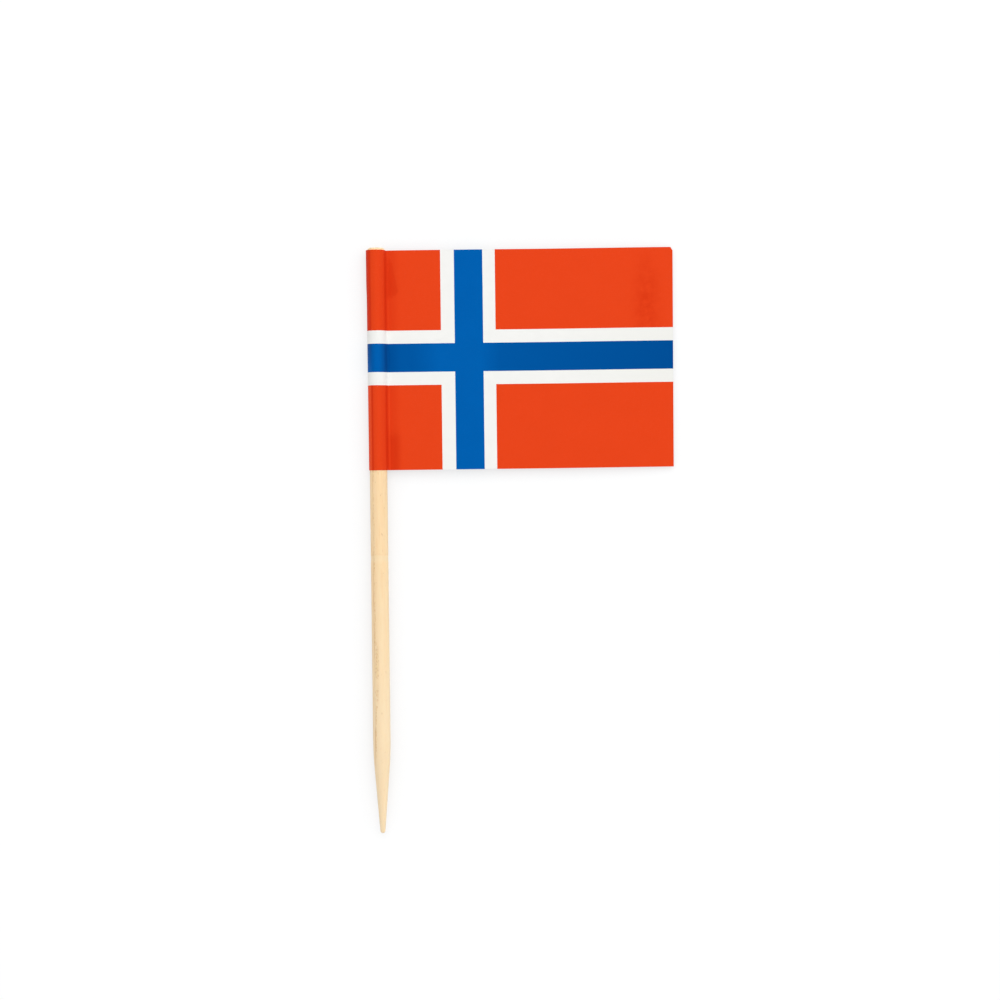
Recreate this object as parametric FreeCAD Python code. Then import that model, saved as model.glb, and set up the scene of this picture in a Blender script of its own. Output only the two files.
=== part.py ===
import FreeCAD, Part

import math
import os

from FreeCAD import Vector

# Flag toothpick, lying on a table. Sizes are in millimetres, angles in degrees.
# While it is built, the pick's axis is the Y axis with the point towards -Y, the flag's lower edge
# is at Y = 0, and the flag leaves the pick towards +X. At the end the whole thing is laid on the table.

# The pick: a round stick of wood, sharpened at one end and cut square at the other.
pick_diameter = 2.0
pick_length = 67.1
point_half_angle = 4.6
point_tip_radius = 0.29
point_shoulder_radius = 47.0
head_edge_radius = 0.25
head_above_flag = 0.28
# A shallow ring, squeezed into the wood below the flag.
pinch_below_flag = 9.7
pinch_length = 0.85
pinch_depth = 0.025

# The flag: one sheet of paper folded round the pick, with its two leaves glued back to back.
# Its reach is from the pick's axis to the far edge, and its height is along the pick.
flag_reach = 34.0
flag_height = 25.2
paper_thickness = 0.10
glue_between_leaves = 0.03
glue_round_pick = 0.03
crease_radius = 0.45
leaf_bow_radius = 300.0

# The far edge is cut after gluing, a little out of square, and its upper corner is nicked.
far_edge_skew = 0.37
corner_nick_across = 0.25
corner_nick_down = 0.40

# The print: a cross whose upright is off centre. Red leaves a white gap on each side of the blue.
# The upright's place is from the pick's axis, the bar's is from the middle of the flag's height.
ink_thickness = 0.02
cross_upright_place = 10.49
cross_bar_above_middle = 0.26
blue_width = 3.26
white_width = 1.5
blue_slip = 0.09

# The section of the sheet, seen along the pick: a chain of arcs down the middle of the paper's
# thickness. It runs from the far edge of the front leaf to the pick, round it, and out along the back leaf.
# An arc is its centre, its radius, and the angles where it starts and ends, from +X towards +Z.
pick_radius = pick_diameter / 2
wrap_radius = pick_radius + glue_round_pick + paper_thickness / 2
sleeve_radius = wrap_radius + paper_thickness / 2
leaf_offset = (glue_between_leaves + paper_thickness) / 2
bow_centre = Vector(0, 0, -leaf_bow_radius)
# The sheet is cut off where its far edge belongs, so it starts out a little longer.
uncut_margin = 1.0
uncut_angle = 90 - math.degrees(math.asin((flag_reach + uncut_margin) / leaf_bow_radius))


def crease_centre(bend_from_bow_centre):
    """The centre of the bend between the wrap and a leaf, which touches both."""
    from_pick = wrap_radius + crease_radius
    height = (bend_from_bow_centre**2 - from_pick**2 - leaf_bow_radius**2) / (2 * leaf_bow_radius)
    return Vector(math.sqrt(from_pick**2 - height**2), 0, height)


def direction(start, end):
    """The angle of the line from one point of the section to another, from +X towards +Z."""
    return math.degrees(math.atan2(end.z - start.z, end.x - start.x))


front_leaf_radius = leaf_bow_radius + leaf_offset
back_leaf_radius = leaf_bow_radius - leaf_offset
front_crease = crease_centre(front_leaf_radius + crease_radius)
back_crease = crease_centre(back_leaf_radius - crease_radius)
axis = Vector(0, 0, 0)
front_leaf_end = direction(bow_centre, front_crease)
back_leaf_start = direction(bow_centre, back_crease)

sheet_arcs = [
    (bow_centre, front_leaf_radius, uncut_angle, front_leaf_end),
    (front_crease, crease_radius, front_leaf_end - 180, direction(front_crease, axis)),
    (axis, wrap_radius, direction(axis, front_crease), 360 + direction(axis, back_crease)),
    (back_crease, crease_radius, direction(back_crease, axis), back_leaf_start),
    (bow_centre, back_leaf_radius, back_leaf_start, uncut_angle),
]


def arc_length(arc):
    centre, radius, start, end = arc
    return radius * math.radians(abs(end - start))


sheet_length = sum(arc_length(arc) for arc in sheet_arcs)
wrap_start = arc_length(sheet_arcs[0]) + arc_length(sheet_arcs[1])
fold_place = wrap_start + wrap_radius * math.radians(180 - direction(axis, front_crease))


def place_on_sheet(from_axis):
    """How far from the fold a point of the flat sheet is that ends up this far from the pick's axis."""
    front_leaf_angle = 90 - math.degrees(from_axis / leaf_bow_radius)
    on_front_leaf = front_leaf_radius * math.radians(front_leaf_angle - uncut_angle)
    return fold_place - on_front_leaf


def section_point(centre, radius, angle):
    turn = math.radians(angle)
    return centre + Vector(radius * math.cos(turn), 0, radius * math.sin(turn))


def offset_edges(first, last, offset):
    """The sheet's section between two places along it, moved towards the printed side by an offset."""
    edges = []
    passed = 0
    for arc in sheet_arcs:
        centre, radius, start, end = arc
        length = arc_length(arc)
        low = max(first - passed, 0)
        high = min(last - passed, length)
        passed += length
        if high <= low:
            continue
        way = 1 if end > start else -1
        moved_radius = radius + way * offset
        angles = [start + way * math.degrees(s / radius) for s in (low, (low + high) / 2, high)]
        points = [section_point(centre, moved_radius, angle) for angle in angles]
        edges.append(Part.Arc(*points).toShape())
    return edges


def ends_of(edges):
    """The first and the last point of a run of edges."""
    return edges[0].firstVertex().Point, edges[-1].lastVertex().Point


def strip(first, last, inner, outer, low, high):
    """A solid layer of the folded sheet.

    It lies between two places along the sheet, two offsets through the sheet and two heights.
    """
    outside = offset_edges(first, last, outer)
    inside = offset_edges(first, last, inner)
    outside_start, outside_end = ends_of(outside)
    inside_start, inside_end = ends_of(inside)
    first_end = Part.makeLine(outside_start, inside_start)
    last_end = Part.makeLine(outside_end, inside_end)
    face = Part.Face(Part.Wire(outside + [last_end] + inside[::-1] + [first_end]))
    face.translate(Vector(0, low, 0))
    return face.extrude(Vector(0, high - low, 0))


def trimming_block():
    """What the knife leaves of the flag: a block with the skewed far edge and the nicked corner."""
    lower_reach = flag_reach - flag_height * math.tan(math.radians(far_edge_skew))
    behind = -2 * sleeve_radius
    nick_reach = flag_reach - corner_nick_down * math.tan(math.radians(far_edge_skew))
    corners = [
        Vector(behind, 0, 0),
        Vector(lower_reach, 0, 0),
        Vector(nick_reach, flag_height - corner_nick_down, 0),
        Vector(flag_reach - corner_nick_across, flag_height, 0),
        Vector(behind, flag_height, 0),
    ]
    depth = flag_reach
    face = Part.Face(Part.makePolygon(corners + corners[:1]))
    face.translate(Vector(0, 0, -depth))
    return face.extrude(Vector(0, 0, 2 * depth))


def pick():
    """The wooden pick, turned about its axis from the outline of its half section."""
    head_end = flag_height + head_above_flag
    point_end = head_end - pick_length
    slope = math.radians(point_half_angle)
    # The rounded tip runs into the cone, and the cone runs into the shank through the shoulder.
    tip_centre = point_end + point_tip_radius
    cone_radius = point_tip_radius * math.cos(slope)
    cone_start = tip_centre - point_tip_radius * math.sin(slope)
    tip_bend = math.radians(90 + point_half_angle) / 2
    cone_meets_shank = cone_start + (pick_radius - cone_radius) / math.tan(slope)
    shoulder_reach = point_shoulder_radius * math.tan(slope / 2)
    shoulder_start = Vector(
        pick_radius - shoulder_reach * math.sin(slope),
        cone_meets_shank - shoulder_reach * math.cos(slope),
        0,
    )
    shoulder_end = Vector(pick_radius, cone_meets_shank + shoulder_reach, 0)
    shoulder_middle = shoulder_end - Vector(
        point_shoulder_radius * (1 - math.cos(slope / 2)),
        point_shoulder_radius * math.sin(slope / 2),
        0,
    )
    pinch_high = Vector(pick_radius, -pinch_below_flag, 0)
    pinch_low = pinch_high - Vector(0, pinch_length, 0)
    pinch_middle = (pinch_high + pinch_low) / 2 - Vector(pinch_depth, 0, 0)
    head_bend = head_edge_radius * (1 - math.cos(math.radians(45)))
    tip = Vector(0, point_end, 0)
    tip_middle = Vector(
        point_tip_radius * math.cos(tip_bend), tip_centre - point_tip_radius * math.sin(tip_bend), 0
    )
    cone_low = Vector(cone_radius, cone_start, 0)
    shank_high = Vector(pick_radius, head_end - head_edge_radius, 0)
    head_middle = Vector(pick_radius - head_bend, head_end - head_bend, 0)
    head_rim = Vector(pick_radius - head_edge_radius, head_end, 0)
    head_centre = Vector(0, head_end, 0)
    outline = [
        Part.Arc(tip, tip_middle, cone_low).toShape(),
        Part.makeLine(cone_low, shoulder_start),
        Part.Arc(shoulder_start, shoulder_middle, shoulder_end).toShape(),
        Part.makeLine(shoulder_end, pinch_low),
        Part.Arc(pinch_low, pinch_middle, pinch_high).toShape(),
        Part.makeLine(pinch_high, shank_high),
        Part.Arc(shank_high, head_middle, head_rim).toShape(),
        Part.makeLine(head_rim, head_centre),
        Part.makeLine(head_centre, tip),
    ]
    face = Part.Face(Part.Wire(outline))
    return face.revolve(Vector(0, 0, 0), Vector(0, 1, 0), 360)


def sheet():
    """The whole folded sheet, before the print takes its place in the outer skin."""
    return strip(0, sheet_length, -paper_thickness / 2, paper_thickness / 2, 0, flag_height)


def ink(first, last, low, high):
    """A printed field, in the outer skin of the sheet."""
    skin = paper_thickness / 2
    return strip(first, last, skin - ink_thickness, skin, low, high)


# The bar of the cross, with the white gap on each side of it.
bar_middle = flag_height / 2 + cross_bar_above_middle
gap_half = blue_width / 2 + white_width
gap_low = bar_middle - gap_half
gap_high = bar_middle + gap_half
# The upright, as distances from the fold on the flat sheet, the same on both leaves.
upright_place = place_on_sheet(cross_upright_place)
gap_near = upright_place - gap_half
gap_far = upright_place + gap_half


def red_fields():
    """Four red fields a face. Those beside the pick run round the fold, so there are six in all."""
    spans = [
        (fold_place - gap_near, fold_place + gap_near),
        (0, fold_place - gap_far),
        (fold_place + gap_far, sheet_length),
    ]
    return [
        ink(first, last, low, high)
        for first, last in spans
        for low, high in [(0, gap_low), (gap_high, flag_height)]
    ]


def blue_cross():
    """The blue bar round the fold, fused with the upright of each leaf. This plate slipped a little."""
    half = blue_width / 2
    bar = ink(0, sheet_length, bar_middle - half, bar_middle + half)
    uprights = [
        ink(middle - half, middle + half, 0, flag_height)
        for middle in (fold_place - upright_place - blue_slip, fold_place + upright_place - blue_slip)
    ]
    return bar.fuse(uprights).removeSplitter()


def glue(stick):
    """The glue that fills the folded sheet, between its leaves and round the pick."""
    inside = offset_edges(0, sheet_length, -paper_thickness / 2)
    start, end = ends_of(inside)
    section = Part.Face(Part.Wire(inside + [Part.makeLine(end, start)]))
    return section.extrude(Vector(0, flag_height, 0)).cut(stick)


def resting_turn():
    """How far the flag turns about the pick until its far edge touches the table under the sleeve."""
    under_leaf = leaf_bow_radius - leaf_offset - paper_thickness / 2
    corner = Vector(flag_reach, 0, math.sqrt(under_leaf**2 - flag_reach**2) - leaf_bow_radius)
    return math.degrees(math.asin(-sleeve_radius / corner.Length)) - direction(axis, corner)


stick = pick()
block = trimming_block()
reds = [field.common(block) for field in red_fields()]
blue = blue_cross().common(block)
paper = sheet().common(block).cut(reds + [blue])

parts = {
    "toothpick": stick,
    "paper_flag": paper,
    "red_print": Part.makeCompound(reds),
    "blue_print": blue,
    "glue_film": glue(stick).common(block),
}

# Lay it on the table: the flag turns about the pick, and the origin goes to the middle of the
# whole thing's outer box, on the table.
for shape in parts.values():
    shape.rotate(Vector(0, 0, 0), Vector(0, -1, 0), resting_turn())
box = Part.makeCompound(list(parts.values())).optimalBoundingBox(False, False)
to_table = Vector(-box.Center.x, -box.Center.y, -box.ZMin)

os.makedirs("parts", exist_ok=True)
for name, shape in parts.items():
    shape.translate(to_table)
    shape.exportStep(f"parts/{name}.step")

flat_width = 2 * place_on_sheet(flag_reach)
print(f"flat sheet {flat_width:.2f} by {flag_height:.2f} mm")
print(f"pick axis at x {to_table.x:.3f}, z {to_table.z:.3f}, flag's lower edge at y {to_table.y:.3f}")
print(f"outer box {box.XLength:.3f} by {box.YLength:.3f} by {box.ZLength:.3f} mm")
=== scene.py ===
# %% [markdown]
# # A flag toothpick, lying on a table
# A flag toothpick is a round wooden pick with a small paper flag glued round its blunt end. One
# printed sheet is folded round the pick, and its two leaves are glued back to back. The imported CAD
# model gives the places and sizes. This lesson dresses it: the pick gets its grain and a flat left by
# the cutter, and the sheet gets its creases, its dents and the look of ink on paper.

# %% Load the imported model
import math

import bmesh
import bpy
from mathutils import Matrix, Vector, noise


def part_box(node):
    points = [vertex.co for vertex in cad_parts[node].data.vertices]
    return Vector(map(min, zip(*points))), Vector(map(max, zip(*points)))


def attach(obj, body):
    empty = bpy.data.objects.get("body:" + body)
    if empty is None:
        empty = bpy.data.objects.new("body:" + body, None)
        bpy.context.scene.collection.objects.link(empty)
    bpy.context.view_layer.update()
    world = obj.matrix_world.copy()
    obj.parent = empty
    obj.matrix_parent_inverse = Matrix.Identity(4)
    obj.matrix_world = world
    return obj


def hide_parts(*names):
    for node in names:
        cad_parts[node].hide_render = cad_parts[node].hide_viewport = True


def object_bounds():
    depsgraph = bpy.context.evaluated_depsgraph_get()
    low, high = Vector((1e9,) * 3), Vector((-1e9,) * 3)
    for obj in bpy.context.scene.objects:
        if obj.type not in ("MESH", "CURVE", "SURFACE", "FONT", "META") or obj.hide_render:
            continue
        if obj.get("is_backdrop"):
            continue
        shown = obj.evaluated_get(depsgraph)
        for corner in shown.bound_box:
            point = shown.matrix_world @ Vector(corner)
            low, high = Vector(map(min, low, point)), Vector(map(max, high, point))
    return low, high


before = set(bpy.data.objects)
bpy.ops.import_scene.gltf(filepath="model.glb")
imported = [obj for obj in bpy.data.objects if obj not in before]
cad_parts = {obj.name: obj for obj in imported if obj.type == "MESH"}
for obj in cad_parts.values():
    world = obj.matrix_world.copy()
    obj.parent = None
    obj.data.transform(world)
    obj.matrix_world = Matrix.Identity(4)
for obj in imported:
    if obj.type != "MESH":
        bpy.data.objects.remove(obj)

cad_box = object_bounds()
print("nodes", sorted(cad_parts))

# %% [markdown]
# ## Where things are
# Blender's unit is the metre, and a toothpick is thought of in millimetres. So every size here is
# written in millimetres, and one factor turns it to metres where a mesh is finished. The places come
# from the boxes of the CAD nodes, so the dressed pieces lie exactly where the solids do.

# %% Read the places from the model
MM = 0.001

pick_low, pick_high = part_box("toothpick")
flag_low, flag_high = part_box("paper_flag")
AXIS_X = (pick_low.x + pick_high.x) / 2 / MM
AXIS_Z = (pick_low.z + pick_high.z) / 2 / MM
HEAD_END = pick_high.y / MM
POINT_END = pick_low.y / MM
FLAG_LOWER_EDGE = flag_low.y / MM
FLAG_HEIGHT = (flag_high.y - flag_low.y) / MM
print(f"pick axis at x {AXIS_X:.3f}, z {AXIS_Z:.3f} mm, flag {FLAG_HEIGHT:.2f} mm high")

# %% [markdown]
# ## Camera
# The photograph was taken from straight above, and the pick leans a little to the left in it. So the
# camera looks straight down, and it is turned the other way by the same angle. Its distance sets how
# much larger the near parts look, and its lens then sets how much of the table is seen. It hangs
# over a point that is measured from the lower corner of the flag, where the pick comes out of it.

# %% Camera
CAMERA_DISTANCE = 300.0
FRAME_WIDTH = 114.8
SENSOR_WIDTH = 36.0
CAMERA_ROLL = -0.70
CAMERA_FROM_CORNER = (13.89, -3.57)
FOCUS_HEIGHT = 1.0

camera_data = bpy.data.cameras.new("camera")
camera_data.sensor_width = SENSOR_WIDTH
camera_data.lens = SENSOR_WIDTH * CAMERA_DISTANCE / FRAME_WIDTH
camera_data.clip_start = 0.01
camera = bpy.data.objects.new("camera", camera_data)
corner = Vector((AXIS_X, FLAG_LOWER_EDGE, FOCUS_HEIGHT))
camera.location = (corner + Vector((*CAMERA_FROM_CORNER, CAMERA_DISTANCE))) * MM
camera.rotation_euler = (0, 0, math.radians(CAMERA_ROLL))
bpy.context.scene.collection.objects.link(camera)
bpy.context.scene.camera = camera
print(f"lens {camera_data.lens:.1f} mm")

# %% [markdown]
# ## The sheet, folded by a formula
# The real flag starts as a flat printed sheet, so it is modelled as one. It is drawn flat, cut and
# printed flat, and then one function says where each of its points ends up. The function follows the
# sheet from the fold: round the pick, through the crease where the paper turns off the pick, and
# straight out along the leaf. Print that runs round the fold then lines up by itself.

# %% The path of the sheet, seen along the pick
PICK_RADIUS = 1.0
PAPER_THICKNESS = 0.10
GLUE_THICKNESS = 0.03
CREASE_RADIUS = 0.45

WRAP_RADIUS = PICK_RADIUS + GLUE_THICKNESS + PAPER_THICKNESS / 2
LEAF_RISE = (GLUE_THICKNESS + PAPER_THICKNESS) / 2
CREASE_RISE = LEAF_RISE + CREASE_RADIUS
CREASE_REACH = math.sqrt((WRAP_RADIUS + CREASE_RADIUS) ** 2 - CREASE_RISE**2)
CREASE_ANGLE = math.atan2(CREASE_RISE, CREASE_REACH)
WRAP_LENGTH = WRAP_RADIUS * (math.pi - CREASE_ANGLE)
CREASE_LENGTH = CREASE_RADIUS * (math.pi / 2 - CREASE_ANGLE)
LEAF_START = WRAP_LENGTH + CREASE_LENGTH


def fold(from_fold, offset):
    """Where a point of the flat sheet comes to lie, as its reach and rise from the pick's axis.

    The front leaf has positive distances from the fold. Offsets are positive on the printed side.
    """
    along = abs(from_fold)
    if along < WRAP_LENGTH:
        angle = math.pi - along / WRAP_RADIUS
        radius = WRAP_RADIUS + offset
        reach = radius * math.cos(angle)
        rise = radius * math.sin(angle)
    elif along < LEAF_START:
        angle = math.pi + CREASE_ANGLE + (along - WRAP_LENGTH) / CREASE_RADIUS
        radius = CREASE_RADIUS - offset
        reach = CREASE_REACH + radius * math.cos(angle)
        rise = CREASE_RISE + radius * math.sin(angle)
    else:
        reach = CREASE_REACH + along - LEAF_START
        rise = LEAF_RISE + offset
    side = 1 if from_fold >= 0 else -1
    return reach, side * rise


def place_on_sheet(from_axis):
    """How far from the fold a point of the leaf is that ends up this far from the pick's axis."""
    return LEAF_START + from_axis - CREASE_REACH


print(f"the leaf starts {LEAF_START:.2f} mm from the fold, {CREASE_REACH:.2f} mm from the axis")

# %% [markdown]
# ## Dents and wear of the folded paper
# Thin glued paper is never quite flat. Beside the crease it was pressed in with a thumb: a wedge
# near the top, a shallow hollow near the bottom, and a thin pleat that catches the light. The sleeve
# is looser at the head than below, the leaf waves a little, and its far edge stands up. Each is a
# line or two of arithmetic on the distance from the pick's axis and the height, which moves both
# leaves and the glue between them together.

# %% Shape of the dents
FLAG_REACH = 34.0
LEAF_BEGINS = (0.85, 1.35)
WEDGE_BORDER = ((19.3, 1.2), (20.3, 2.56), (23.7, 1.92), (24.7, 1.15))
WEDGE_SLOPE = 0.05
WEDGE_ROUNDING = 0.1
HOLLOW_TOP = 5.2
HOLLOW_FADE = 2.0
HOLLOW_FAR = 2.9
HOLLOW_SLOPE = 0.08
HOLLOW_ROUNDING = 0.3
PLEAT_REACH = 1.24
PLEAT_WIDTH = 0.07
PLEAT_RISE = 0.02
PLEAT_TOP = 9.6
PLEAT_FADE = 1.0
CREASE_SINK = 0.03
CREASE_SINK_ENDS = (1.2, 2.8)
WAVE_RISE = 0.04
WAVE_LENGTH = 9.0
WAVE_SLICE = 0.4
WAVE_STARTS = (1.5, 6.0)
WAVE_FADES = (24.0, 33.0)
FAR_EDGE_LIFT = 0.4
FAR_EDGE_LIFT_FROM = 14.0


def soft_step(value, low, high):
    """0 up to low, 1 from high on, and a smooth rise between them."""
    t = min(max((value - low) / (high - low), 0), 1)
    return t * t * (3 - 2 * t)


def hill(value, middle, width):
    """1 in the middle and next to nothing twice the width away from it."""
    away = (value - middle) / width
    return math.exp(-away * away)


def soft_above_zero(value, softness):
    """A value with what is below zero taken off, and the corner at zero rounded."""
    return (value + math.sqrt(value * value + softness * softness)) / 2


def inside_wedge(reach, height):
    """How far inside the wedge's border a point is. The border is straight between its corners."""
    inside = -1.0
    for (low, reach_low), (high, reach_high) in zip(WEDGE_BORDER, WEDGE_BORDER[1:]):
        if low <= height <= high:
            border = reach_low + (reach_high - reach_low) * (height - low) / (high - low)
            inside = border - reach
    return inside


def leaf_sink(reach, height):
    """How far the leaf is pushed in, this far from the pick's axis and above the lower edge."""
    wedge = WEDGE_SLOPE * soft_above_zero(inside_wedge(reach, height), WEDGE_ROUNDING)
    in_hollow = 1 - soft_step(height, HOLLOW_TOP - HOLLOW_FADE, HOLLOW_TOP)
    hollow = HOLLOW_SLOPE * soft_above_zero(HOLLOW_FAR - reach, HOLLOW_ROUNDING) * in_hollow
    pleat = PLEAT_RISE * hill(reach, PLEAT_REACH, PLEAT_WIDTH)
    pleat *= 1 - soft_step(height, PLEAT_TOP - PLEAT_FADE, PLEAT_TOP)
    along_crease = CREASE_SINK * (1 - soft_step(reach, *CREASE_SINK_ENDS))
    wave_place = Vector((reach / WAVE_LENGTH, height / WAVE_LENGTH, WAVE_SLICE))
    wave = WAVE_RISE * noise.noise(wave_place) * soft_step(reach, *WAVE_STARTS)
    wave *= 1 - soft_step(reach, *WAVE_FADES)
    lift = FAR_EDGE_LIFT * soft_step(reach, FAR_EDGE_LIFT_FROM, FLAG_REACH)
    return soft_step(reach, *LEAF_BEGINS) * (wedge + hollow + along_crease - pleat) + wave - lift


print(f"far edge lifted by {-leaf_sink(FLAG_REACH, FLAG_HEIGHT / 2):.2f} mm")

# %% [markdown]
# Painted shade darkens the ink in the crease, in the dents, on the left side of the sleeve near the
# head, and in a thin line along that side. A painted highlight lightens it along the pleat's ridge and
# lower down the left side of the sleeve. A second function gives this as one number, from 1 for full
# painted shade to -1 for full painted highlight, and each mesh carries it along.

# %% Painted light and shade on the sheet
VALLEY_STARTS = (0.78, 1.0)
VALLEY_ENDS = (1.14, 1.28)
VALLEY_WIDENING = 0.3
WIDE_VALLEY_AT = 12.9
WIDE_VALLEY_RISE = 2.2
FLANK_TOP_REACH = -0.55
FLANK_FADE = 0.08
FLANK_SHADE_LINE_REACH = -0.56
FLANK_SHADE_LINE_WIDTH = 0.09
FLANK_SHADE_LINE_TOP = 11.0
FLANK_SHADE_LINE_FADE = 1.5


def painted_light_and_shade(from_fold, height):
    """How much painted shade a place on the sheet gets, up to 1, or below 0 for painted highlight."""
    reach, rise = fold(from_fold, 0)
    # painted shade in the crease: in its valley, beside it and before it
    wider = VALLEY_WIDENING * hill(height, WIDE_VALLEY_AT, WIDE_VALLEY_RISE)
    valley = 0.8 * soft_step(reach, VALLEY_STARTS[0] - wider / 2, VALLEY_STARTS[1])
    valley *= 1 - soft_step(reach, VALLEY_ENDS[0] + wider, VALLEY_ENDS[1] + wider)
    beside = 0.4 * soft_step(reach, 1.0, 1.2) * (1 - soft_step(reach, 1.5, 2.9))
    before = 0.25 * soft_step(reach, 0.1, 0.75)
    crease = max(valley, beside, before if reach < 0.9 else 0)
    # the left side of the sleeve: painted shade near the head, painted highlight lower down
    near_head = soft_step(height, 11, 16)
    upper_side = soft_step(rise, -0.4, 0.5)
    flank_top = soft_step(reach, FLANK_TOP_REACH - FLANK_FADE, FLANK_TOP_REACH + FLANK_FADE)
    flank_shade_and_light = (1.3 * near_head - 0.35) * (upper_side * (1 - flank_top))
    if rise < 0:
        return crease + flank_shade_and_light
    # painted shade in the wedge and the hollow
    inside = inside_wedge(reach, height)
    wedge = soft_step(inside, -0.05, 0.15) * (0.62 + 0.2 * soft_step(inside, 0.1, 1.0))
    hollow = 0.75 - 0.75 * soft_step(reach, HOLLOW_FAR - 1.0, HOLLOW_FAR)
    hollow *= 1 - soft_step(height, HOLLOW_TOP - 1.8, HOLLOW_TOP)
    dent = max(wedge, hollow) * soft_step(reach, 0.8, 1.0)
    # a painted highlight along the pleat's ridge
    low_part = 1 - soft_step(height, PLEAT_TOP - PLEAT_FADE, PLEAT_TOP)
    painted_ridge_highlight = 0.45 * hill(reach, PLEAT_REACH + 0.06, PLEAT_WIDTH) * low_part
    # a painted shade line along the left side of the sleeve
    shade_line_part = 1 - soft_step(height, FLANK_SHADE_LINE_TOP - FLANK_SHADE_LINE_FADE, FLANK_SHADE_LINE_TOP)
    flank_shade_line = 1.5 * shade_line_part * hill(reach, FLANK_SHADE_LINE_REACH, FLANK_SHADE_LINE_WIDTH)
    return min(max(crease, dent) - painted_ridge_highlight + flank_shade_and_light + flank_shade_line, 1)


in_crease, on_leaf = (painted_light_and_shade(place_on_sheet(reach), 15) for reach in (CREASE_REACH, FLAG_REACH / 2))
print(f"pressed by {in_crease:.2f} where the leaf starts and {on_leaf:.2f} halfway along it")

# %% Put a point of the flat sheet in its place
BOW_RADIUS = 300.0
LEAF_TURN = math.radians(1.548)
TIGHT_BELOW = -0.04
TIGHT_FADES = (0.6, 1.5)
HEAD_FLARE = 0.035
HEAD_FLARE_HEIGHTS = (19.8, 21.2)
HEAD_FLARE_REACH = 0.8
TOP_EDGE_ZONE = 1.5
NOTCH_REACH = 1.15
NOTCH_WIDTH = 0.14
NOTCH_DEPTH = 0.03
SLEEVE_STANDS_UP = 0.04
FAR_EDGE_DRIFT = 0.05
FAR_CORNER_DRIFT = 0.05
DRIFT_SPAN = (18, 40)


def drift_up(reach, rise, height):
    """How far a point of the sheet lies above its place on a square one.

    The sleeve stands up a little over the leaf, with a notch between them, and the far edge drifts up.
    """
    near_top = soft_step(height, FLAG_HEIGHT - TOP_EDGE_ZONE, FLAG_HEIGHT)
    sleeve = SLEEVE_STANDS_UP * (1 - soft_step(reach, 0.9, 1.3))
    notch = NOTCH_DEPTH * hill(reach, NOTCH_REACH, NOTCH_WIDTH) * soft_step(rise, 0, 0.1)
    far = FAR_EDGE_DRIFT + FAR_CORNER_DRIFT * height / FLAG_HEIGHT
    return near_top * (sleeve - notch) + far * soft_step(reach, *DRIFT_SPAN)


def placed(from_fold, height, offset):
    """A point of the flat sheet, in metres, where it lies on the finished flag."""
    reach, rise = fold(from_fold, offset)
    tighter = TIGHT_BELOW * (1 - height / FLAG_HEIGHT) * (1 - soft_step(reach, *TIGHT_FADES))
    reach *= 1 + tighter / WRAP_RADIUS
    rise *= 1 + tighter / WRAP_RADIUS
    reach -= HEAD_FLARE * soft_step(height, *HEAD_FLARE_HEIGHTS) * soft_step(-reach, 0, HEAD_FLARE_REACH)
    along = height + drift_up(reach, rise, height)
    rise -= leaf_sink(reach, height)
    if reach > 0:
        bow = reach / BOW_RADIUS
        radius = BOW_RADIUS + rise
        reach = radius * math.sin(bow)
        rise = radius * math.cos(bow) - BOW_RADIUS
    x = AXIS_X + reach * math.cos(LEAF_TURN) - rise * math.sin(LEAF_TURN)
    z = AXIS_Z + reach * math.sin(LEAF_TURN) + rise * math.cos(LEAF_TURN)
    return Vector((x, FLAG_LOWER_EDGE + along, z)) * MM


far_corner = placed(place_on_sheet(FLAG_REACH), 0, 0) / MM
print(f"lower far corner at x {far_corner.x:.2f}, {far_corner.z:.2f} mm above the table")

# %% [markdown]
# ## The flat sheet, cut and printed
# A grid makes the flat sheet, with finer columns where it will bend. Straight cuts then put an edge
# of the mesh along each border of the print, because a border that follows real edges stays crisp
# from any distance. The far edge was cut after gluing and a little out of square, and its upper
# corner is nicked, so both leaves get the same cut.

# %% Cut the flat sheet
COLUMN_WIDTH = 0.6
ROW_HEIGHT = 0.3
FINE_ZONE = 7.0
FINE_CUTS = 3
CREASE_ZONE = (1.8, 4.4)
TIGHT_ZONE = (0.7, 1.4)
FAR_EDGE_SKEW = math.tan(math.radians(0.37))
NICK_ACROSS = 0.25
NICK_DOWN = 0.40
ON_THE_CUT = 1e-5
TRIM = 0.5

outer_bow = BOW_RADIUS + LEAF_RISE + PAPER_THICKNESS / 2
far_edge = place_on_sheet(BOW_RADIUS * math.asin(FLAG_REACH / outer_bow))
columns = 2 * math.ceil((far_edge + TRIM) / COLUMN_WIDTH)
rows = math.ceil(FLAG_HEIGHT / ROW_HEIGHT)


def cut_along(mesh, point, across, drop=False):
    """Cuts the flat sheet along a line. With drop, the side that across points to is taken off."""
    bmesh.ops.bisect_plane(
        mesh,
        geom=mesh.verts[:] + mesh.edges[:] + mesh.faces[:],
        dist=ON_THE_CUT,
        plane_co=(*point, 0),
        plane_no=(*across, 0),
        clear_outer=drop,
    )


def finer_columns(sheet, low, high, cuts):
    """Cuts the columns between two distances from the fold into narrower ones, on both leaves."""
    across = [
        edge
        for edge in sheet.edges
        if all(low <= abs(vert.co.x) <= high for vert in edge.verts)
        and abs(edge.verts[0].co.y - edge.verts[1].co.y) < ROW_HEIGHT / 2
    ]
    bmesh.ops.subdivide_edges(sheet, edges=across, cuts=cuts)


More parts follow.
